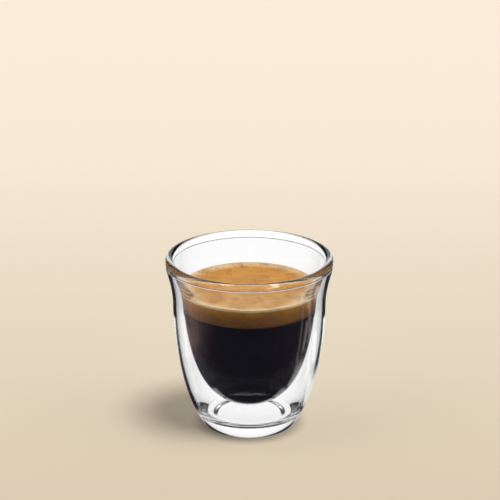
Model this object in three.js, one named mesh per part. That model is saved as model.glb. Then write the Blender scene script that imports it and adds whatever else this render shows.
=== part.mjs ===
// A double-walled espresso glass holding an espresso: dark coffee under a thick layer of crema.
// Millimetres, +Z up. The origin is the centre of the flat ring that the glass stands on.
import * as THREE from "three";

// The glass from outside
const GLASS_HEIGHT = 66;
const RIM_DIAMETER = 62;
const RIM_THICKNESS = 3;
const WAIST_HEIGHT = 48; // below it both walls are bowls, above it they flare out to the rim
const WAIST_DIAMETER = 56.4;
const WAIST_TAPER = 0.015; // growth of the outer wall's radius with height at the waist
const STAND_DIAMETER = 30.8;
const FOOT_ROUNDING = 2;
const FOOT_SLOPE = THREE.MathUtils.degToRad(48); // the outer wall's slope where it leaves the foot

// The cup that hangs inside it from the rim
const CUP_BOTTOM_HEIGHT = 9; // lowest point of the cup's outside
const CUP_WAIST_DIAMETER = 49.2; // outside, at the waist's height
const CUP_TAPER = 0.082;
const CUP_WALL = 1.7; // at the cup's bottom and at the waist
const CUP_RIM_WALL = 0.9; // where the cup runs into the rim
const OUTER_WALL = 1.1;

// The air space between the walls: a flat floor, a round corner, and a vent in the base
const FLOOR_HEIGHT = 5.2;
const FLOOR_DIAMETER = 29;
const CORNER_HEIGHT = 10; // where the corner meets the outer wall
const ROOF_HEIGHT = 63; // where its half-round roof starts, just under the rim
const VENT_DIAMETER = 2.4;

// The hollow under the base
const HOLLOW_DIAMETER = 28.4;
const HOLLOW_DEPTH = 1;
const HOLLOW_EDGE = 3;

// The drink
const COFFEE_LEVEL = 47;
const CREMA_LEVEL = 53.8;
const MENISCUS_RISE = 0.9; // how far the crema climbs the glass at its edge
const MENISCUS_REACH = 1.6; // how quickly that fades away from the glass
const MENISCUS_STEPS = 5;
const GAP = 0.3; // between the pieces that touch

const TURN_STEPS = 64; // flat sides round the axis
const ON_AXIS = 0.01;

const rimRadius = RIM_DIAMETER / 2;
const lipRadius = RIM_THICKNESS / 2;
const lipHeight = GLASS_HEIGHT - lipRadius;
const upright = Math.PI / 2;

const point = (radius, height) => new THREE.Vector2(radius, height);
const slopeOf = (taper) => Math.atan2(1, taper);

// A smooth stretch from one point to another. Each end has a direction, as an angle above
// the horizontal, and a pull, the distance over which the curve keeps to that direction.
function stretch(from, leaving, pullOut, to, arriving, pullIn) {
  const out = point(from.x + pullOut * Math.cos(leaving), from.y + pullOut * Math.sin(leaving));
  const into = point(to.x - pullIn * Math.cos(arriving), to.y - pullIn * Math.sin(arriving));
  return new THREE.CubicBezierCurve(from, out, into, to);
}

// Points along curves that follow each other, moved sideways to the left of the way they run.
function trace(curves, steps, shift = 0) {
  const points = [];
  curves.forEach((curve, n) => {
    for (let i = n ? 1 : 0; i <= steps[n]; i++) {
      const place = curve.getPoint(i / steps[n]);
      const along = curve.getTangent(i / steps[n]);
      const radius = place.x - along.y * shift;
      points.push(point(Math.abs(radius) < ON_AXIS ? 0 : radius, place.y + along.x * shift));
    }
  });
  return points;
}

// Points on a circle about a centre, from one angle to another.
function arc(centre, radius, from, to, steps) {
  return Array.from({ length: steps + 1 }, (_, i) => {
    const angle = from + ((to - from) * i) / steps;
    return point(centre.x + radius * Math.cos(angle), centre.y + radius * Math.sin(angle));
  });
}

// The radius of an outline that runs upwards, at a height.
function radiusAt(outline, height) {
  const next = outline.findIndex((p) => p.y > height);
  const above = outline[next];
  const below = outline[next - 1];
  return THREE.MathUtils.mapLinear(height, below.y, above.y, below.x, above.x);
}

// An outline that runs upwards, ended at a height.
function upTo(outline, height) {
  return [...outline.filter((p) => p.y < height), point(radiusAt(outline, height), height)];
}

// One face of the cup, from the axis upwards: a bowl to the waist and a flare into the rim.
function cupFace(bottomHeight, waistRadius, topRadius) {
  const cupWaist = point(waistRadius, WAIST_HEIGHT);
  const lean = slopeOf(CUP_TAPER);
  const bowlPull = 0.885 * (WAIST_HEIGHT - bottomHeight);
  return [
    stretch(point(0, bottomHeight), 0, 0.43 * waistRadius, cupWaist, lean, bowlPull),
    stretch(cupWaist, lean, 10, point(topRadius, lipHeight), upright, 6),
  ];
}

const cupRadius = CUP_WAIST_DIAMETER / 2;
const mouthRadius = rimRadius - RIM_THICKNESS;
const cupOutside = cupFace(CUP_BOTTOM_HEIGHT, cupRadius, mouthRadius + CUP_RIM_WALL);
const cupInside = cupFace(CUP_BOTTOM_HEIGHT + CUP_WALL, cupRadius - CUP_WALL, mouthRadius);

// The outside of the outer wall, from the foot's rounding upwards, and its flare into the rim.
const standRadius = STAND_DIAMETER / 2;
const footCentre = point(standRadius, FOOT_ROUNDING);
const footTop = point(
  standRadius + FOOT_ROUNDING * Math.sin(FOOT_SLOPE),
  FOOT_ROUNDING * (1 - Math.cos(FOOT_SLOPE)),
);
const waist = point(WAIST_DIAMETER / 2, WAIST_HEIGHT);
const wallBowl = stretch(footTop, FOOT_SLOPE, 5.2, waist, slopeOf(WAIST_TAPER), 29);
const wallFlare = stretch(
  waist, slopeOf(WAIST_TAPER), 8,
  point(rimRadius, lipHeight), upright, 3.5,
);

// The inside of the outer wall, from the flat floor round the corner and up the even wall.
function cavityWall() {
  const wall = trace([wallBowl, wallFlare], [11, 6], OUTER_WALL);
  const corner = point(radiusAt(wall, CORNER_HEIGHT), CORNER_HEIGHT);
  const rest = upTo(wall.filter((p) => p.y > CORNER_HEIGHT), ROOF_HEIGHT);
  const rise = rest[0].clone().sub(corner).angle();
  const floorEdge = point(FLOOR_DIAMETER / 2, FLOOR_HEIGHT);
  return [...trace([stretch(floorEdge, 0, 2.5, corner, rise, 4)], [6]), ...rest];
}

// The roof of the cavity is a half round between the two walls.
function cavityRoof(left, right, steps) {
  const middle = left.clone().add(right).multiplyScalar(0.5);
  const radius = left.distanceTo(right) / 2;
  const tilt = Math.atan2(right.y - left.y, right.x - left.x);
  return arc(middle, radius, tilt + Math.PI, tilt, steps);
}

// The glass is one outline turned round the axis: the cup's outside, the cavity, the vent,
// the hollow, the outer wall, the lip, and the cup's inside back down to the axis.
function glassOutline() {
  const underCup = upTo(trace(cupOutside, [10, 6]), ROOF_HEIGHT);
  const wallInside = cavityWall();
  const roof = cavityRoof(underCup.at(-1), wallInside.at(-1), 4).slice(1, -1);
  const foot = arc(footCentre, FOOT_ROUNDING, -upright, FOOT_SLOPE - upright, 3);
  const lip = arc(point(rimRadius - lipRadius, lipHeight), lipRadius, 0, Math.PI, 8);
  return [
    ...underCup,
    ...roof,
    ...wallInside.reverse(),
    point(VENT_DIAMETER / 2, FLOOR_HEIGHT),
    point(VENT_DIAMETER / 2, HOLLOW_DEPTH),
    point(HOLLOW_DIAMETER / 2 - HOLLOW_EDGE, HOLLOW_DEPTH),
    point(HOLLOW_DIAMETER / 2, 0),
    ...foot,
    ...trace([wallBowl, wallFlare], [9, 6]).slice(1, -1),
    ...lip,
    ...trace(cupInside, [10, 6]).slice(0, -1).reverse(),
  ];
}

// The side of the drink, a gap inside the cup's inner wall.
const drinkSide = trace(cupInside, [12, 12], GAP);

function coffeeOutline() {
  return [
    ...upTo(drinkSide, COFFEE_LEVEL),
    point(0, COFFEE_LEVEL),
  ];
}

// The crema's top is level, and climbs the glass at its edge.
function cremaOutline() {
  const bottom = COFFEE_LEVEL + GAP;
  const edgeHeight = CREMA_LEVEL + MENISCUS_RISE;
  const edge = radiusAt(drinkSide, edgeHeight);
  const side = drinkSide.filter((p) => p.y > bottom && p.y < edgeHeight);
  const meniscus = Array.from({ length: MENISCUS_STEPS }, (_, i) => {
    const inward = i * MENISCUS_REACH;
    return point(edge - inward, CREMA_LEVEL + MENISCUS_RISE * Math.exp(-inward / MENISCUS_REACH));
  });
  return [
    point(0, bottom),
    point(radiusAt(drinkSide, bottom), bottom),
    ...side,
    ...meniscus,
    point(0, CREMA_LEVEL),
  ];
}

// A solid of revolution. A lathe turns its outline about Y, and the group stands that upright.
function turned(name, outline, finish) {
  const mesh = new THREE.Mesh(
    new THREE.LatheGeometry(outline, TURN_STEPS),
    new THREE.MeshStandardMaterial(finish),
  );
  mesh.name = name;
  return mesh;
}

const clearGlass = { color: 0xf4f6f6, roughness: 0.03, metalness: 0, transparent: true, opacity: 0.3 };
const blackCoffee = { color: 0x1c110d, roughness: 0.08, metalness: 0 };
const hazelFoam = { color: 0xcd9a55, roughness: 0.5, metalness: 0 };

const espresso = new THREE.Group();
espresso.rotation.x = upright;
espresso.add(
  turned("double_wall_glass", glassOutline(), clearGlass),
  turned("coffee", coffeeOutline(), blackCoffee),
  turned("crema", cremaOutline(), hazelFoam),
);

export default espresso;
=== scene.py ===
import math
import bpy
import numpy as np
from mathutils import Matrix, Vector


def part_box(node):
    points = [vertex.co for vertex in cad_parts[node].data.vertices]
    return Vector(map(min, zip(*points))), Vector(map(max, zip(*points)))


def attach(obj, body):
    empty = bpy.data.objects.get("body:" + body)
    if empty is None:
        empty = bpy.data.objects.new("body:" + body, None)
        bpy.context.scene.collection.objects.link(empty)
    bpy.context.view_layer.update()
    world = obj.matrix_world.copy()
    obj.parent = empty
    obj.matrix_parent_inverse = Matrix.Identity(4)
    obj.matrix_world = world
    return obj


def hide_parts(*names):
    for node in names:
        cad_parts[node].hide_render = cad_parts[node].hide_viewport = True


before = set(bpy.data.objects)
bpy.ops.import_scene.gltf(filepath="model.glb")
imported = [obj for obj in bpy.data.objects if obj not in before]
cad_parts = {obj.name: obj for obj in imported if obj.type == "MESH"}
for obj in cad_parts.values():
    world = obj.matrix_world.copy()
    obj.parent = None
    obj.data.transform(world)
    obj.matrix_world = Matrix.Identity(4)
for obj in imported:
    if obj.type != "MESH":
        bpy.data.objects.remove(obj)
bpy.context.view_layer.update()        # the double-walled glass with its coffee and crema

mm = 0.001
upright = math.pi / 2
sameSpot = 1e-4      # mm, points closer than this are one point
rng = np.random.default_rng(7)


# Profiles: rows of radius and height in mm

def curve(start, leaving, pullOut, end, arriving, pullIn, steps):
    # Cubic Bezier: each end keeps to its angle above the horizontal over its pull
    start, end = np.array(start, float), np.array(end, float)
    near = start + pullOut * np.array([math.cos(leaving), math.sin(leaving)])
    far = end - pullIn * np.array([math.cos(arriving), math.sin(arriving)])
    t = np.linspace(0, 1, steps + 1)[:, None]
    points = (1 - t) ** 3 * start + 3 * t * (1 - t) ** 2 * near + 3 * t ** 2 * (1 - t) * far + t ** 3 * end
    along = (1 - t) ** 2 * (near - start) + 2 * t * (1 - t) * (far - near) + t ** 2 * (end - far)
    return points, along / np.linalg.norm(along, axis=1, keepdims=True)


def shifted(line, distance):
    # Each point moved to the left of the way the line runs there
    points, along = line
    return points + distance * np.stack([-along[:, 1], along[:, 0]], axis=1)


def roundCorner(centre, radius, first, last, steps):
    # Circle: centre plus radius times the cosine and sine of an even run of angles
    angle = np.linspace(first, last, steps + 1)
    return np.stack([centre[0] + radius * np.cos(angle), centre[1] + radius * np.sin(angle)], axis=1)


def chain(*lines):
    # Lines end to end, without the points that two of them share
    joined = np.concatenate(lines)
    step = np.linalg.norm(np.diff(joined, axis=0), axis=1)
    return joined[np.concatenate([[True], step > sameSpot])]


def radiusAt(profile, height):
    # Straight lines between the points of a profile that rises all the way
    return np.interp(height, profile[:, 1], profile[:, 0])


# Meshes

def turned(profiles, sides):
    # Surface of revolution: a profile's point (r, z) at angle a goes to (r cos a, r sin a, z).
    # A profile starts and ends on the axis, where one point closes the surface.
    angle = np.linspace(0, 2 * math.pi, sides, endpoint=False)
    points, faces, start = [], [], 0
    for profile in profiles:
        ring = profile[1:-1]
        grid = np.stack([
            np.outer(ring[:, 0], np.cos(angle)),
            np.outer(ring[:, 0], np.sin(angle)),
            np.repeat(ring[:, 1:], sides, axis=1),
        ], axis=2)
        poles = np.array([[0, 0, profile[0, 1]], [0, 0, profile[-1, 1]]])
        points += [grid.reshape(-1, 3), poles]
        here = start + np.arange(len(ring) * sides).reshape(-1, sides)
        beside = np.roll(here, -1, axis=1)
        bottomPole = start + here.size
        quads = np.stack([here[:-1], beside[:-1], beside[1:], here[1:]], axis=2).reshape(-1, 4)
        bottom = np.stack([np.full(sides, bottomPole), beside[0], here[0]], axis=1)
        top = np.stack([np.full(sides, bottomPole + 1), here[-1], beside[-1]], axis=1)
        faces += quads.tolist() + bottom.tolist() + top.tolist()
        start = bottomPole + 2
    return np.concatenate(points), faces


def makePiece(name, points, faces, material):
    # A smooth mesh from points in mm, carried by the part's one body
    mesh = bpy.data.meshes.new(name)
    mesh.from_pydata((points * mm).tolist(), [], faces)
    mesh.materials.append(material)
    mesh.shade_smooth()
    piece = bpy.data.objects.new(name, mesh)
    bpy.context.collection.objects.link(piece)
    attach(piece, "root")
    print(name, "made with", len(faces), "faces")
    return piece


# Materials

def linear(hexColour):
    # sRGB hex to linear light, with full alpha
    value = np.array([int(hexColour[i:i + 2], 16) for i in (1, 3, 5)]) / 255
    light = np.where(value <= 0.04045, value / 12.92, ((value + 0.055) / 1.055) ** 2.4)
    return (*light.tolist(), 1.0)


def addNode(tree, kind, settings=None, inputs=None):
    # Settings are the node's own; inputs are values, or sockets to link; stops fill a ramp with hex colours
    node = tree.nodes.new(kind)
    for name, value in (settings or {}).items():
        if name == "stops":
            ramp = node.color_ramp.elements
            ramp.remove(ramp[1])
            for place, colour in value[1:]:
                ramp.new(place).color = linear(colour)
            ramp[0].position, ramp[0].color = value[0][0], linear(value[0][1])
        else:
            setattr(node, name, value)
    for name, value in (inputs or {}).items():
        if isinstance(value, bpy.types.NodeSocket):
            tree.links.new(value, node.inputs[name])
        else:
            node.inputs[name].default_value = value
    return node


def newMaterial(name):
    # A material with its node tree and its main shader
    material = bpy.data.materials.new(name)
    material.use_nodes = True
    return material, material.node_tree, material.node_tree.nodes["Principled BSDF"]


# The glass

glassBox = np.array(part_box("double_wall_glass")) / mm
glass = {      # lengths in mm
    "height": glassBox[1][2],
    "rimRadius": glassBox[1][0],
    "rimThickness": 3.0,
    "waistHeight": 48.0,
    "waistRadius": 28.2,
    "waistTaper": 0.015,      # how far the wall leans out for each mm up
    "wallPulls": (5.2, 29.0),      # how long the curve keeps to its angle at the foot and at the waist
    "flarePulls": (8.0, 3.5),      # and at the waist and at the rim
    "wall": 1.1,
    "standRadius": 15.4,
    "footRounding": 2.0,
    "footSlope": math.radians(48),
    "cupBottom": 9.0,
    "cupWaistRadius": 24.6,
    "cupTaper": 0.082,
    "cupPulls": (0.43, 0.885),      # as shares of the bowl's radius and height
    "cupFlarePulls": (10.0, 6.0),
    "cupWall": 1.7,
    "cupRimWall": 0.9,      # where the cup runs into the rim
    "floorHeight": 5.2,      # the air space's floor, the corner where it meets the wall, and its roof
    "floorRadius": 14.5,
    "cornerHeight": 10.0,
    "cornerPulls": (2.5, 4.0),
    "roofHeight": 63.0,
    "hollowRadius": 14.2,      # the hollow under the base
    "hollowDepth": 1.0,
    "hollowEdge": 3.0,
    "sides": 144,
    "curveSteps": 60,
    "lipSteps": 32,
    "cornerSteps": 24,
    "roofSteps": 14,
    "footSteps": 12,
    "edgePoints": 16,
    "flatPoints": 8,
    "waveSize": 14.0,      # between the faint swells of blown glass
    "waveHeight": 0.02,
}
lipRadius = glass["rimThickness"] / 2
lipHeight = glass["height"] - lipRadius


def cupLines(bottom, waistRadius, rimRadius):
    # One face of the cup: a bowl up to the waist and a flare into the rim
    waist = (waistRadius, glass["waistHeight"])
    taper = math.atan2(1, glass["cupTaper"])
    bottomPull, waistPull = np.array(glass["cupPulls"]) * [waistRadius, waist[1] - bottom]
    flarePull, rimPull = glass["cupFlarePulls"]
    bowl = curve((0, bottom), 0, bottomPull, waist, taper, waistPull, glass["curveSteps"])
    flare = curve(waist, taper, flarePull, (rimRadius, lipHeight), upright, rimPull, glass["curveSteps"])
    return bowl, flare


def cupOutside():
    # The face towards the air space
    rim = glass["rimRadius"] - glass["rimThickness"] + glass["cupRimWall"]
    return cupLines(glass["cupBottom"], glass["cupWaistRadius"], rim)


def cupInside():
    # The face towards the drink
    wall = glass["cupWall"]
    rim = glass["rimRadius"] - glass["rimThickness"]
    return cupLines(glass["cupBottom"] + wall, glass["cupWaistRadius"] - wall, rim)


def wallLines():
    # The outside of the outer wall: from the foot to the waist, and out into the rim
    slope = glass["footSlope"]
    foot = (
        glass["standRadius"] + glass["footRounding"] * math.sin(slope),
        glass["footRounding"] * (1 - math.cos(slope)),
    )
    waist = (glass["waistRadius"], glass["waistHeight"])
    taper = math.atan2(1, glass["waistTaper"])
    footPull, waistPull = glass["wallPulls"]
    flarePull, rimPull = glass["flarePulls"]
    bowl = curve(foot, slope, footPull, waist, taper, waistPull, glass["curveSteps"])
    rim = (glass["rimRadius"], lipHeight)
    return bowl, curve(waist, taper, flarePull, rim, upright, rimPull, glass["curveSteps"])


def glassSkin():
    # From the axis under the base: hollow, foot, outer wall, lip, and down inside the cup
    bowl, flare = wallLines()
    t = np.linspace(0, 1, glass["edgePoints"])
    edge = np.stack([
        glass["hollowRadius"] - glass["hollowEdge"] * (1 - t),
        glass["hollowDepth"] * (0.5 + 0.5 * np.cos(math.pi * t)),
    ], axis=1)
    middle = np.linspace([0, glass["hollowDepth"]], edge[0], glass["flatPoints"])
    footCentre = (glass["standRadius"], glass["footRounding"])
    footEnd = glass["footSlope"] - upright
    foot = roundCorner(footCentre, glass["footRounding"], -upright, footEnd, glass["footSteps"])
    lip = roundCorner((glass["rimRadius"] - lipRadius, lipHeight), lipRadius, 0, math.pi, glass["lipSteps"])
    inside = chain(*(line[0] for line in cupInside()))
    return chain(middle, edge, foot, bowl[0], flare[0], lip, inside[::-1])


def glassCavity():
    # The sealed air space: up the cup's outside, over the roof, down the wall to the flat floor
    bowl, flare = wallLines()
    cup = chain(*(line[0] for line in cupOutside()))
    cup = cup[cup[:, 1] < glass["roofHeight"]]
    wall = chain(shifted(bowl, glass["wall"]), shifted(flare, glass["wall"]))
    start = np.array([radiusAt(wall, glass["cornerHeight"]), glass["cornerHeight"]])
    wall = wall[(wall[:, 1] > glass["cornerHeight"]) & (wall[:, 1] < glass["roofHeight"])]
    rise = math.atan2(*(wall[0] - start)[::-1])
    floorEdge = (glass["floorRadius"], glass["floorHeight"])
    floorPull, wallPull = glass["cornerPulls"]
    corner = curve(floorEdge, 0, floorPull, start, rise, wallPull, glass["cornerSteps"])[0]
    floor = np.linspace([0, glass["floorHeight"]], floorEdge, glass["flatPoints"])
    across = wall[-1] - cup[-1]
    tilt = math.atan2(across[1], across[0])
    roofCentre, roofRadius = (wall[-1] + cup[-1]) / 2, np.linalg.norm(across) / 2
    roof = roundCorner(roofCentre, roofRadius, tilt + math.pi, tilt, glass["roofSteps"])
    return chain(cup, roof, wall[::-1], corner[::-1], floor[::-1])


def blownGlass():
    # Borosilicate glass, blown and fire-polished: clear, smooth, with very faint swells
    material, tree, shader = newMaterial("blownBorosilicateGlass")
    shader.inputs["Base Color"].default_value = linear("#ffffff")
    shader.inputs["Roughness"].default_value = 0.0
    shader.inputs["IOR"].default_value = 1.47
    shader.inputs["Transmission Weight"].default_value = 1.0
    place = addNode(tree, "ShaderNodeTexCoord")
    swell = addNode(tree, "ShaderNodeTexNoise", None, {
        "Vector": place.outputs["Object"], "Scale": 1 / (glass["waveSize"] * mm), "Detail": 0.0})
    bump = addNode(tree, "ShaderNodeBump", None, {
        "Height": swell.outputs["Fac"], "Distance": glass["waveHeight"] * mm, "Strength": 1.0})
    tree.links.new(bump.outputs["Normal"], shader.inputs["Normal"])
    return material


glassPiece = makePiece("blown_glass", *turned([glassSkin(), glassCavity()], glass["sides"]), blownGlass())
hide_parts("double_wall_glass")
glassPiece.visible_shadow = False      # clear glass hardly shades; the drink in it does


# The coffee

coffee = {      # lengths in mm
    "level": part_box("coffee")[1][2] / mm,
    "intoWall": 0.15,      # so that no air shows between drink and glass
    "sides": 128,
    "surfacePoints": 12,
    "cloudSize": 9.0,      # the faint clouds between the two tones
    "tones": ((0.3, "#1b1a20"), (0.7, "#222027")),
    "edgeGlow": "#d0807a",      # light that passes through the thin edge
}


def drinkSide():
    # The inside of the cup, moved a little into the wall
    side = chain(*(shifted(line, -coffee["intoWall"]) for line in cupInside()))
    side[0, 0] = 0
    return side


def coffeeProfile():
    # From the bottom of the cup up its side, and level back to the axis
    side = drinkSide()
    rim = [radiusAt(side, coffee["level"]), coffee["level"]]
    surface = np.linspace(rim, [0, coffee["level"]], coffee["surfacePoints"])
    return chain(side[side[:, 1] < coffee["level"]], surface)


def blackCoffee():
    # Espresso: too dark to see into, a little brown where side light catches it, glassy smooth
    material, tree, shader = newMaterial("blackCoffeeLiquid")
    place = addNode(tree, "ShaderNodeTexCoord")
    cloud = addNode(tree, "ShaderNodeTexNoise", None, {
        "Vector": place.outputs["Object"], "Scale": 1 / (coffee["cloudSize"] * mm), "Detail": 2.0})
    tone = addNode(tree, "ShaderNodeValToRGB", {"stops": coffee["tones"]}, {"Fac": cloud.outputs["Fac"]})
    tree.links.new(tone.outputs["Color"], shader.inputs["Base Color"])
    shader.inputs["Roughness"].default_value = 0.05
    shader.inputs["IOR"].default_value = 1.34
    shader.inputs["Specular IOR Level"].default_value = 0.1      # glass hardly mirrors where liquid wets it
    shader.inputs["Sheen Weight"].default_value = 0.3
    shader.inputs["Sheen Roughness"].default_value = 0.35
    shader.inputs["Sheen Tint"].default_value = linear(coffee["edgeGlow"])
    return material


coffeePiece = makePiece("espresso_liquid", *turned([coffeeProfile()], coffee["sides"]), blackCoffee())
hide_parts("coffee")


# The crema

cremaBox = np.array(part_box("crema")) / mm
crema = {      # lengths in mm
    "bottom": coffee["level"] - 0.1,      # just into the coffee
    "edgeHeight": cremaBox[1][2],
    "rise": 0.9,      # how far it climbs the glass
    "reach": 1.6,      # how far in from the glass the climb fades
    "sides": 160,
    "rings": 70,
    "ringCrowding": 1.6,      # above 1, the rings crowd towards the glass
    "bottomPoints": 10,
    "swellHeight": 0.06,
    "swellSizes": (3.0, 11.0),
    "swellWaves": 18,
    "swellFade": 2.0,      # the swell dies out over this at the glass
    "slack": 0.01,      # points this close to the level top count as on it
    "sideTones": ((0.0, "#7d5636"), (0.45, "#986a34"), (0.8, "#c48a3a")),      # shares of the edge's height
    "topTone": "#cf9136",
    "topMargin": 0.02,      # share above the level top at which its tone is full
    "edgeTone": "#dca658",
    "topBlend": (-0.3, 0.2),      # about the level top, where the top's own tones come in
    "ringReach": (19.5, 24.0),      # paler along the glass, on the top
    "ringTone": "#e6c496",
    "paintedHighlightSide": (-15.0, 4.0),      # painted highlight: the top is painted paler towards the near side
    "paintedHighlightTone": "#e8bc84",
    "paintedHighlightRingTone": "#ffe6bc",
    "mottleSize": 5.0,
    "mottleTones": ((0.3, "#d9c9b4"), (0.5, "#f2ece2"), (0.72, "#ffffff")),
    "grainSize": 0.4,      # coarser than real foam, so that it shows
    "grainHeight": 0.06,
    "bubbleSizes": (0.25, 0.6),
    "edgeBubbles": 260,
    "edgeGap": 0.5,      # from the glass to the nearest bubble, and how far in they spread
    "edgeSpread": 0.7,
    "looseBubbles": 90,
    "looseShares": (0.02, 0.9),      # of the top's area, from the axis out
    "bubbleTurns": 8,
    "bubbleTiers": np.radians([-21.6, 14.4, 50.4, 86.4]),      # above the level
}
topLevel = crema["edgeHeight"] - crema["rise"]


def swells(x, y):
    # Sum of sine waves with seeded directions, lengths and phases
    count = crema["swellWaves"]
    angle = rng.uniform(0, 2 * math.pi, count)
    wave = 2 * math.pi / rng.uniform(*crema["swellSizes"], count)
    phase = rng.uniform(0, 2 * math.pi, count)
    run = np.multiply.outer(x, np.cos(angle) * wave) + np.multiply.outer(y, np.sin(angle) * wave)
    return np.sin(run + phase).sum(axis=-1) / math.sqrt(count)


def climb(fromGlass):
    # Meniscus: the rise at the glass falls off by a factor of e over each reach
    return topLevel + crema["rise"] * np.exp(-fromGlass / crema["reach"])


def cremaProfile():
    # Level underneath, up the cup's side, and over the meniscus to a level top
    side = drinkSide()
    edge = radiusAt(side, crema["edgeHeight"])
    inward = np.linspace(0, 1, crema["rings"]) ** crema["ringCrowding"] * edge
    top = np.stack([edge - inward, climb(inward)], axis=1)
    bottomEdge = [radiusAt(side, crema["bottom"]), crema["bottom"]]
    bottom = np.linspace([0, crema["bottom"]], bottomEdge, crema["bottomPoints"])
    between = side[(side[:, 1] > crema["bottom"]) & (side[:, 1] < crema["edgeHeight"])]
    return chain(bottom, between, top)


def foamMaterial():
    # Crema: fine coffee foam, golden on top, darker brown where it thins into the coffee, with a painted
    # highlight that makes its near side paler
    material, tree, shader = newMaterial("goldenCremaFoam")
    place = addNode(tree, "ShaderNodeTexCoord")
    parts = addNode(tree, "ShaderNodeSeparateXYZ", None, {0: place.outputs["Object"]})
    height = addNode(tree, "ShaderNodeMapRange", None, {
        "Value": parts.outputs["Z"],
        "From Min": crema["bottom"] * mm, "From Max": crema["edgeHeight"] * mm})
    topShare = (topLevel - crema["bottom"]) / (crema["edgeHeight"] - crema["bottom"])
    tones = (*crema["sideTones"], (topShare + crema["topMargin"], crema["topTone"]), (1.0, crema["edgeTone"]))
    depth = addNode(tree, "ShaderNodeValToRGB", {"stops": tones}, {"Fac": height.outputs["Result"]})
    flat = addNode(tree, "ShaderNodeVectorMath", {"operation": "MULTIPLY"}, {
        0: place.outputs["Object"], 1: (1.0, 1.0, 0.0)})
    out = addNode(tree, "ShaderNodeVectorMath", {"operation": "LENGTH"}, {0: flat.outputs[0]})
    ring = addNode(tree, "ShaderNodeMapRange", {"interpolation_type": "SMOOTHSTEP"}, {
        "Value": out.outputs["Value"],
        "From Min": crema["ringReach"][0] * mm, "From Max": crema["ringReach"][1] * mm})
    blendLow, blendHigh = (topLevel + np.array(crema["topBlend"])) * mm
    onTop = addNode(tree, "ShaderNodeMapRange", None, {
        "Value": parts.outputs["Z"], "From Min": blendLow, "From Max": blendHigh})
    pale = addNode(tree, "ShaderNodeMath", {"operation": "MULTIPLY"}, {
        0: ring.outputs["Result"], 1: onTop.outputs["Result"]})
    # painted highlight: the near side of the top, and of the ring along the glass, is painted paler
    near = addNode(tree, "ShaderNodeMapRange", {"interpolation_type": "SMOOTHSTEP"}, {
        "Value": parts.outputs["Y"], "To Min": 1.0, "To Max": 0.0,
        "From Min": crema["paintedHighlightSide"][0] * mm, "From Max": crema["paintedHighlightSide"][1] * mm})
    paintedHighlightTop = addNode(tree, "ShaderNodeMath", {"operation": "MULTIPLY"}, {
        0: near.outputs["Result"], 1: onTop.outputs["Result"]})
    top = addNode(tree, "ShaderNodeMix", {"data_type": "RGBA"}, {
        "Factor": paintedHighlightTop.outputs[0], 6: depth.outputs["Color"], 7: linear(crema["paintedHighlightTone"])})
    edge = addNode(tree, "ShaderNodeMix", {"data_type": "RGBA"}, {
        "Factor": near.outputs["Result"], 6: linear(crema["ringTone"]), 7: linear(crema["paintedHighlightRingTone"])})
    tinted = addNode(tree, "ShaderNodeMix", {"data_type": "RGBA"}, {
        "Factor": pale.outputs[0], 6: top.outputs[2], 7: edge.outputs[2]})
    mottle = addNode(tree, "ShaderNodeTexNoise", None, {
        "Vector": place.outputs["Object"], "Scale": 1 / (crema["mottleSize"] * mm),
        "Detail": 5.0, "Roughness": 0.6, "Distortion": 0.6})
    shade = addNode(tree, "ShaderNodeValToRGB", {"stops": crema["mottleTones"]}, {
        "Fac": mottle.outputs["Fac"]})
    colour = addNode(tree, "ShaderNodeMix", {"data_type": "RGBA", "blend_type": "MULTIPLY"}, {
        "Factor": 1.0, 6: tinted.outputs[2], 7: shade.outputs["Color"]})
    grain = addNode(tree, "ShaderNodeTexVoronoi", {"feature": "F1"}, {
        "Vector": place.outputs["Object"], "Scale": 1 / (crema["grainSize"] * mm)})
    bump = addNode(tree, "ShaderNodeBump", None, {
        "Height": grain.outputs["Distance"], "Distance": crema["grainHeight"] * mm, "Strength": 0.5})
    shader.inputs["Roughness"].default_value = 0.42
    shader.inputs["IOR"].default_value = 1.36
    tree.links.new(colour.outputs[2], shader.inputs["Base Color"])
    tree.links.new(bump.outputs["Normal"], shader.inputs["Normal"])
    return material


def bubbleDomes(x, y, z, radius):
    # Each bubble is a half ball: centre plus radius times a grid of directions from just below the level up
    lift, turns = crema["bubbleTiers"], crema["bubbleTurns"]
    angle = np.linspace(0, 2 * math.pi, turns, endpoint=False)
    ball = np.stack([
        np.outer(np.cos(lift), np.cos(angle)),
        np.outer(np.cos(lift), np.sin(angle)),
        np.repeat(np.sin(lift)[:, None], turns, axis=1),
    ], axis=2).reshape(-1, 3)
    points = np.stack([x, y, z], axis=1)[:, None, :] + radius[:, None, None] * ball
    here = np.arange(len(ball)).reshape(-1, turns)
    beside = np.roll(here, -1, axis=1)
    quads = np.stack([here[:-1], beside[:-1], beside[1:], here[1:]], axis=2).reshape(-1, 4)
    first = np.arange(len(x))[:, None] * len(ball)
    walls = (quads[None] + first[:, :, None]).reshape(-1, 4).tolist()
    caps = (first + here[-1]).tolist()
    floors = (first + here[0][::-1]).tolist()
    return points.reshape(-1, 3), walls + caps + floors


foam = foamMaterial()
cremaPoints, cremaFaces = turned([cremaProfile()], crema["sides"])
cremaEdge = radiusAt(drinkSide(), crema["edgeHeight"])
fromAxis = np.hypot(cremaPoints[:, 0], cremaPoints[:, 1])
onTop = (cremaPoints[:, 2] > topLevel - crema["slack"]) & (fromAxis < cremaEdge - crema["slack"])
fade = np.clip((cremaEdge - fromAxis) / crema["swellFade"], 0, 1)
relief = crema["swellHeight"] * swells(cremaPoints[:, 0], cremaPoints[:, 1]) * fade
cremaPoints[:, 2] += np.where(onTop, relief, 0)
cremaPiece = makePiece("crema_layer", cremaPoints, cremaFaces, foam)
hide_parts("crema")

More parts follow.
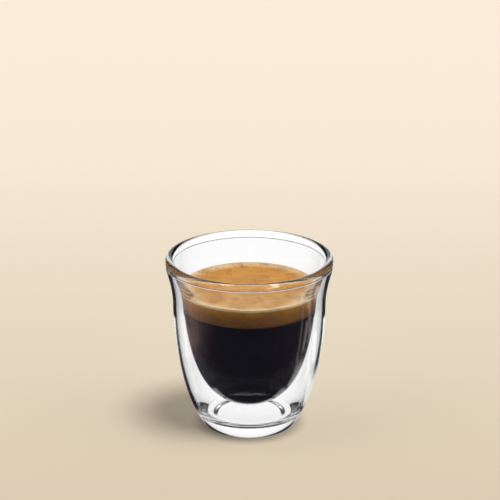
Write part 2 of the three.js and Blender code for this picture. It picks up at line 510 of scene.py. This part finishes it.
bubbleCount = crema["edgeBubbles"] + crema["looseBubbles"]
bubbleRadius = rng.uniform(*crema["bubbleSizes"], bubbleCount) / 2
bubbleTurn = rng.uniform(0, 2 * math.pi, bubbleCount)
inFromEdge = np.concatenate([
    rng.exponential(crema["edgeSpread"], crema["edgeBubbles"]) + crema["edgeGap"],
    cremaEdge * (1 - np.sqrt(rng.uniform(*crema["looseShares"], crema["looseBubbles"]))),
])
inFromEdge = np.clip(inFromEdge, crema["edgeGap"], cremaEdge)
bubbleOut = cremaEdge - inFromEdge
bubblePiece = makePiece("crema_bubbles", *bubbleDomes(
    bubbleOut * np.cos(bubbleTurn), bubbleOut * np.sin(bubbleTurn), climb(inFromEdge), bubbleRadius), foam)


# The stage: a pale sweep of paper, a studio round it, and the camera

noLimit = 9.0      # past everything on the stage
stage = {      # lengths on the floor in m; a range is low, high and how softly it ends, as band() takes it
    "floorSize": 3.0,
    "floorDrop": 0.00002,      # keeps the paper clear of the foot
    "nearY": -0.066,      # the floor that the picture's bottom and top edges show
    "farY": 0.76,
    # painted light falloff: the cream paper's tone is painted paler towards the back
    "paperTonesWithPaintedFalloff": (
        (0.0, "#decdb6"), (0.044, "#e2d2ba"), (0.1, "#e4d5bd"), (0.165, "#e6d7c1"), (0.24, "#e9dac4"),
        (0.32, "#eddfc9"), (0.47, "#f6e7d2"), (0.65, "#f9ead6"), (1.0, "#fbecd8"),
    ),
    "paperLevel": 0.84,
    "paintedShadowRadius": 0.023,      # painted contact shadow: the paper is painted darker from here in to the foot
    "paintedShadowLevel": 0.5,
    "backdrop": "#fbecd8",
    "seenThrough": 1.12,      # the white that shows straight through the glass, up to a dark ceiling
    "ceiling": (-noLimit, 0.43, 0.06),
    "darkTone": "#1d1d27",      # what the glass mirrors where no card stands
    "disc": (-noLimit, 0.019, 0.006),      # white card under the glass, from just in front of its middle
    "discFront": (-0.0025, noLimit, 0.002),
    "strip": (-noLimit, 0.004, 0.006),      # white strip behind it, that widens on its way back
    "stripFront": (0.005, noLimit, 0.01),
    "stripGrow": 0.65,
    "gap": (0.117, 0.165, 0.005),      # dark gap in the strip's sides, for the edges of the walls
    "gapSide": (0.0, noLimit, 0.006),
    "gapGrow": 0.33,
    "cards": (      # side, turn from the side towards the back in radians, distance from the glass, tone
        (-1.0, (0.2, 0.4, 1.0, 0.2), (0.12, 0.3, 0.08), "#aa8e89"),
        (1.0, (0.06, 0.13, 0.03), (0.06, 0.3, 0.02), "#dacecb"),
        (-1.0, (0.05, 0.3, 0.1), (0.078, 0.11, 0.01), "#c8a69e"),
        (1.0, (0.3, 0.42, 0.06), (0.07, 0.1, 0.01), "#e7e2dd"),
        (1.0, (0.2, 0.8, 0.06), (0.027, 0.042, 0.004, 0.02), "#e7e2dd"),
    ),
    "windows": (      # turn from straight behind in radians, and how far up
        ((-0.28, 0.28, 0.09), (-noLimit, 0.35, 0.15)),
        ((-0.24, 0.24, 0.06), (0.55, 0.72, 0.05)),
    ),
    "lamps": (      # the way to each, and its size
        ((-0.33, -0.25, 0.91), 0.10), ((-0.05, -0.86, 0.45), 0.06), ((0.38, -0.30, 0.87), 0.10),
    ),
    "lampSoft": 0.03,
    "lampLevel": 7.0,
    "frontLevel": 0.10,      # scattered light, from the front, the back and both sides
    "backLevel": 0.5,
    "sideLevel": 1.2,
    "frontToBack": (-0.85, 0.1),
    "backToSide": (0.35, 0.9),
    "frontTint": (0.1, 0.9, 1.25, 1.0),      # scattered light off the floor: cool in front, warm at the sides
    "sideTint": (1.3, 1.15, 1.0, 1.0),
    "tintTurn": (0.3, 0.9),
    "keyStrength": 2.0,
    "keyAngle": 22.0,      # degrees across, for a soft shadow
    "keyHeight": 69.0,      # degrees above the floor, and round from the right
    "keyTurn": -28.0,
    "lens": 135.0,      # mm
    "sensor": 36.0,
    "eye": (0.00025, -0.64684, 0.29815),
    "lookDown": 19.563,      # degrees
}
seenWhite = (stage["seenThrough"],) * 3 + (1.0,)


def pathSplit(tree, direct, through, mirrored, soft):
    # One level for each kind of ray: seen by the eye, through clear glass, mirrored, or scattered
    path = addNode(tree, "ShaderNodeLightPath")
    mirror = addNode(tree, "ShaderNodeMath", {"operation": "GREATER_THAN"}, {
        0: path.outputs["Glossy Depth"], 1: 0.5})
    scattered = addNode(tree, "ShaderNodeMath", {"operation": "GREATER_THAN"}, {
        0: path.outputs["Diffuse Depth"], 1: 0.5})
    result = through
    for choice, level in (
        (mirror.outputs[0], mirrored),
        (scattered.outputs[0], soft),
        (path.outputs["Is Camera Ray"], direct),
    ):
        mix = addNode(tree, "ShaderNodeMix", {"data_type": "RGBA"}, {"Factor": choice, 6: result, 7: level})
        result = mix.outputs[2]
    return result


def band(tree, value, low, high, soft, softHigh=None):
    # 1 between low and high, falling to 0 over soft outside them, or over softHigh above
    edges = []
    for start, end in ((low - soft, low), (high + (softHigh or soft), high)):
        step = addNode(tree, "ShaderNodeMapRange", {"interpolation_type": "SMOOTHSTEP"}, {
            "Value": value, "From Min": min(start, end), "From Max": max(start, end),
            "To Min": float(start > end), "To Max": float(start < end)})
        edges.append(step.outputs["Result"])
    return addNode(tree, "ShaderNodeMath", {"operation": "MULTIPLY"}, {0: edges[0], 1: edges[1]}).outputs[0]


def patch(tree, first, firstRange, second, secondRange):
    # Where two bands cross
    both = {0: band(tree, first, *firstRange), 1: band(tree, second, *secondRange)}
    return addNode(tree, "ShaderNodeMath", {"operation": "MULTIPLY"}, both).outputs[0]


def softLevel(tree, forward, sideways):
    # Scattered light: strong from both sides, less from the back and above, dark from the front
    depth = addNode(tree, "ShaderNodeMapRange", {"interpolation_type": "SMOOTHSTEP"}, {
        "Value": forward, "From Min": stage["frontToBack"][0], "From Max": stage["frontToBack"][1],
        "To Min": stage["frontLevel"], "To Max": stage["backLevel"]})
    across = addNode(tree, "ShaderNodeMath", {"operation": "ABSOLUTE"}, {0: sideways})
    side = addNode(tree, "ShaderNodeMapRange", {"interpolation_type": "SMOOTHSTEP"}, {
        "Value": across.outputs[0],
        "From Min": stage["backToSide"][0], "From Max": stage["backToSide"][1]})
    both = addNode(tree, "ShaderNodeMix", {"data_type": "FLOAT"}, {
        0: side.outputs["Result"], 2: depth.outputs["Result"], 3: stage["sideLevel"]})
    return both.outputs[0]


def mirroredFloor(tree, x, y, radius):
    # What the glass mirrors of the floor: dark, with tinted cards at the sides and white behind
    across = addNode(tree, "ShaderNodeMath", {"operation": "ABSOLUTE"}, {0: x}).outputs[0]
    disc = patch(tree, radius, stage["disc"], y, stage["discFront"])
    outward = addNode(tree, "ShaderNodeMath", {"operation": "MULTIPLY_ADD"}, {
        0: y, 1: -stage["stripGrow"], 2: across}).outputs[0]
    strip = patch(tree, outward, stage["strip"], y, stage["stripFront"])
    pastGap = addNode(tree, "ShaderNodeMath", {"operation": "MULTIPLY_ADD"}, {
        0: y, 1: -stage["gapGrow"], 2: across}).outputs[0]
    gap = patch(tree, radius, stage["gap"], pastGap, stage["gapSide"])
    strip = addNode(tree, "ShaderNodeMath", {"operation": "SUBTRACT", "use_clamp": True}, {0: strip, 1: gap})
    white = addNode(tree, "ShaderNodeMath", {"operation": "MAXIMUM"}, {0: disc, 1: strip.outputs[0]})
    shares = []
    for side, turnRange, reachRange, tone in stage["cards"]:
        outSide = addNode(tree, "ShaderNodeMath", {"operation": "MULTIPLY"}, {0: x, 1: side})
        turn = addNode(tree, "ShaderNodeMath", {"operation": "ARCTAN2"}, {0: y, 1: outSide.outputs[0]})
        shares.append((patch(tree, turn.outputs[0], turnRange, radius, reachRange), linear(tone)))
    mirrored = linear(stage["darkTone"])
    for share, colour in (*shares, (white.outputs[0], linear("#ffffff"))):
        mix = addNode(tree, "ShaderNodeMix", {"data_type": "RGBA"}, {"Factor": share, 6: mirrored, 7: colour})
        mirrored = mix.outputs[2]
    return mirrored


def scatteredFloor(tree, x, y, radius):
    # The floor's share of the scattered light, tinted by the way it comes from
    forward = addNode(tree, "ShaderNodeMath", {"operation": "DIVIDE"}, {0: y, 1: radius}).outputs[0]
    sideways = addNode(tree, "ShaderNodeMath", {"operation": "DIVIDE"}, {0: x, 1: radius}).outputs[0]
    across = addNode(tree, "ShaderNodeMath", {"operation": "ABSOLUTE"}, {0: sideways})
    turn = addNode(tree, "ShaderNodeMapRange", None, {
        "Value": across.outputs[0], "From Min": stage["tintTurn"][0], "From Max": stage["tintTurn"][1]})
    tint = addNode(tree, "ShaderNodeMix", {"data_type": "RGBA"}, {
        "Factor": turn.outputs["Result"], 6: stage["frontTint"], 7: stage["sideTint"]})
    return addNode(tree, "ShaderNodeVectorMath", {"operation": "SCALE"}, {
        0: tint.outputs[2], "Scale": softLevel(tree, forward, sideways)}).outputs[0]


def paperColourWithPaintedShade(tree, y, radius):
    # Cream paper with painted light: painted paler towards the back as a light falloff, and a painted contact
    # shadow, a soft dark ring where the glass stands
    grade = addNode(tree, "ShaderNodeMapRange", None, {
        "Value": y, "From Min": stage["nearY"], "From Max": stage["farY"]})
    paper = addNode(tree, "ShaderNodeValToRGB", {"stops": stage["paperTonesWithPaintedFalloff"]}, {
        "Fac": grade.outputs["Result"]})
    # painted shadow: a soft dark ring painted round the foot
    paintedContactShadow = addNode(tree, "ShaderNodeMapRange", {"interpolation_type": "SMOOTHSTEP"}, {
        "Value": radius, "From Min": glass["standRadius"] * mm, "From Max": stage["paintedShadowRadius"],
        "To Min": stage["paperLevel"] * stage["paintedShadowLevel"], "To Max": stage["paperLevel"]})
    return addNode(tree, "ShaderNodeMix", {"data_type": "RGBA", "blend_type": "MULTIPLY"}, {
        "Factor": 1.0, 6: paper.outputs["Color"], 7: paintedContactShadow.outputs["Result"]}).outputs[2]


def creamPaper():
    # Matt cream paper to the eye; to the glass and the drink, a studio's cards and soft light
    material = bpy.data.materials.new("creamPaper")
    material.use_nodes = True
    tree = material.node_tree
    tree.nodes.clear()
    place = addNode(tree, "ShaderNodeTexCoord")
    parts = addNode(tree, "ShaderNodeSeparateXYZ", None, {0: place.outputs["Object"]})
    x, y = parts.outputs["X"], parts.outputs["Y"]
    out = addNode(tree, "ShaderNodeVectorMath", {"operation": "LENGTH"}, {0: place.outputs["Object"]})
    radius = out.outputs["Value"]
    mirrored, scattered = mirroredFloor(tree, x, y, radius), scatteredFloor(tree, x, y, radius)
    level = pathSplit(tree, linear("#000000"), seenWhite, mirrored, scattered)
    glow = addNode(tree, "ShaderNodeEmission", None, {"Color": level})
    paper = addNode(tree, "ShaderNodeBsdfDiffuse", None, {"Color": paperColourWithPaintedShade(tree, y, radius)})
    path = addNode(tree, "ShaderNodeLightPath")
    both = addNode(tree, "ShaderNodeMixShader", None, {
        0: path.outputs["Is Camera Ray"], 1: glow.outputs[0], 2: paper.outputs[0]})
    addNode(tree, "ShaderNodeOutputMaterial", None, {"Surface": both.outputs[0]})
    return material


def makeFloor():
    # One square of paper
    square = np.array([[-1, -1, 0], [1, -1, 0], [1, 1, 0], [-1, 1, 0]]) * stage["floorSize"] / 2
    mesh = bpy.data.meshes.new("paper_sweep")
    mesh.from_pydata((square - [0, 0, stage["floorDrop"]]).tolist(), [], [[0, 1, 2, 3]])
    mesh.materials.append(creamPaper())
    floor = bpy.data.objects.new("paper_sweep", mesh)
    bpy.context.collection.objects.link(floor)


def makeWorld():
    # The studio's walls: even to the eye, and to the glass dark with two windows and three lamps
    world = bpy.data.worlds.new("softStudio")
    world.use_nodes = True
    tree = world.node_tree
    tree.nodes.clear()
    place = addNode(tree, "ShaderNodeTexCoord")
    parts = addNode(tree, "ShaderNodeSeparateXYZ", None, {0: place.outputs["Generated"]})
    x, y, z = parts.outputs
    turn = addNode(tree, "ShaderNodeMath", {"operation": "ARCTAN2"}, {0: x, 1: y}).outputs[0]
    bright = linear(stage["darkTone"])[0]
    for turnRange, riseRange in stage["windows"]:
        bright = addNode(tree, "ShaderNodeMath", {"operation": "MAXIMUM"}, {
            0: bright, 1: patch(tree, turn, turnRange, z, riseRange)}).outputs[0]
    for direction, size in stage["lamps"]:
        unit = np.array(direction) / np.linalg.norm(direction)
        apart = addNode(tree, "ShaderNodeVectorMath", {"operation": "DISTANCE"}, {
            0: place.outputs["Generated"], 1: tuple(unit)})
        lamp = band(tree, apart.outputs["Value"], -noLimit, size, stage["lampSoft"])
        bright = addNode(tree, "ShaderNodeMath", {"operation": "MULTIPLY_ADD"}, {
            0: lamp, 1: stage["lampLevel"], 2: bright}).outputs[0]
    through = addNode(tree, "ShaderNodeMix", {"data_type": "RGBA"}, {
        "Factor": band(tree, z, *stage["ceiling"]), 6: linear(stage["darkTone"]), 7: seenWhite}).outputs[2]
    level = pathSplit(tree, linear(stage["backdrop"]), through, bright, softLevel(tree, y, x))
    back = addNode(tree, "ShaderNodeBackground", None, {"Color": level})
    addNode(tree, "ShaderNodeOutputWorld", None, {"Surface": back.outputs[0]})
    bpy.context.scene.world = world


def makeKey():
    # A broad soft light, high on the right and a little in front, that isn't itself mirrored
    data = bpy.data.lights.new("key", "SUN")
    data.energy, data.angle = stage["keyStrength"], math.radians(stage["keyAngle"])
    light = bpy.data.objects.new("key", data)
    light.rotation_euler = (0, math.radians(90 - stage["keyHeight"]), math.radians(stage["keyTurn"]))
    light.visible_camera = light.visible_glossy = light.visible_transmission = False
    bpy.context.collection.objects.link(light)


def makeCamera():
    # In front of the glass, looking down on it
    data = bpy.data.cameras.new("camera")
    data.lens, data.sensor_width = stage["lens"], stage["sensor"]
    camera = bpy.data.objects.new("camera", data)
    camera.location = stage["eye"]
    camera.rotation_euler = (upright - math.radians(stage["lookDown"]), 0, 0)
    bpy.context.collection.objects.link(camera)
    bpy.context.scene.camera = camera


makeFloor()
makeWorld()
makeKey()
makeCamera()
scene = bpy.context.scene
scene.view_settings.view_transform = "Standard"
scene.cycles.max_bounces = 24      # light crosses many walls of glass
scene.cycles.transmission_bounces = 24
scene.cycles.glossy_bounces = 12
print("stage set")
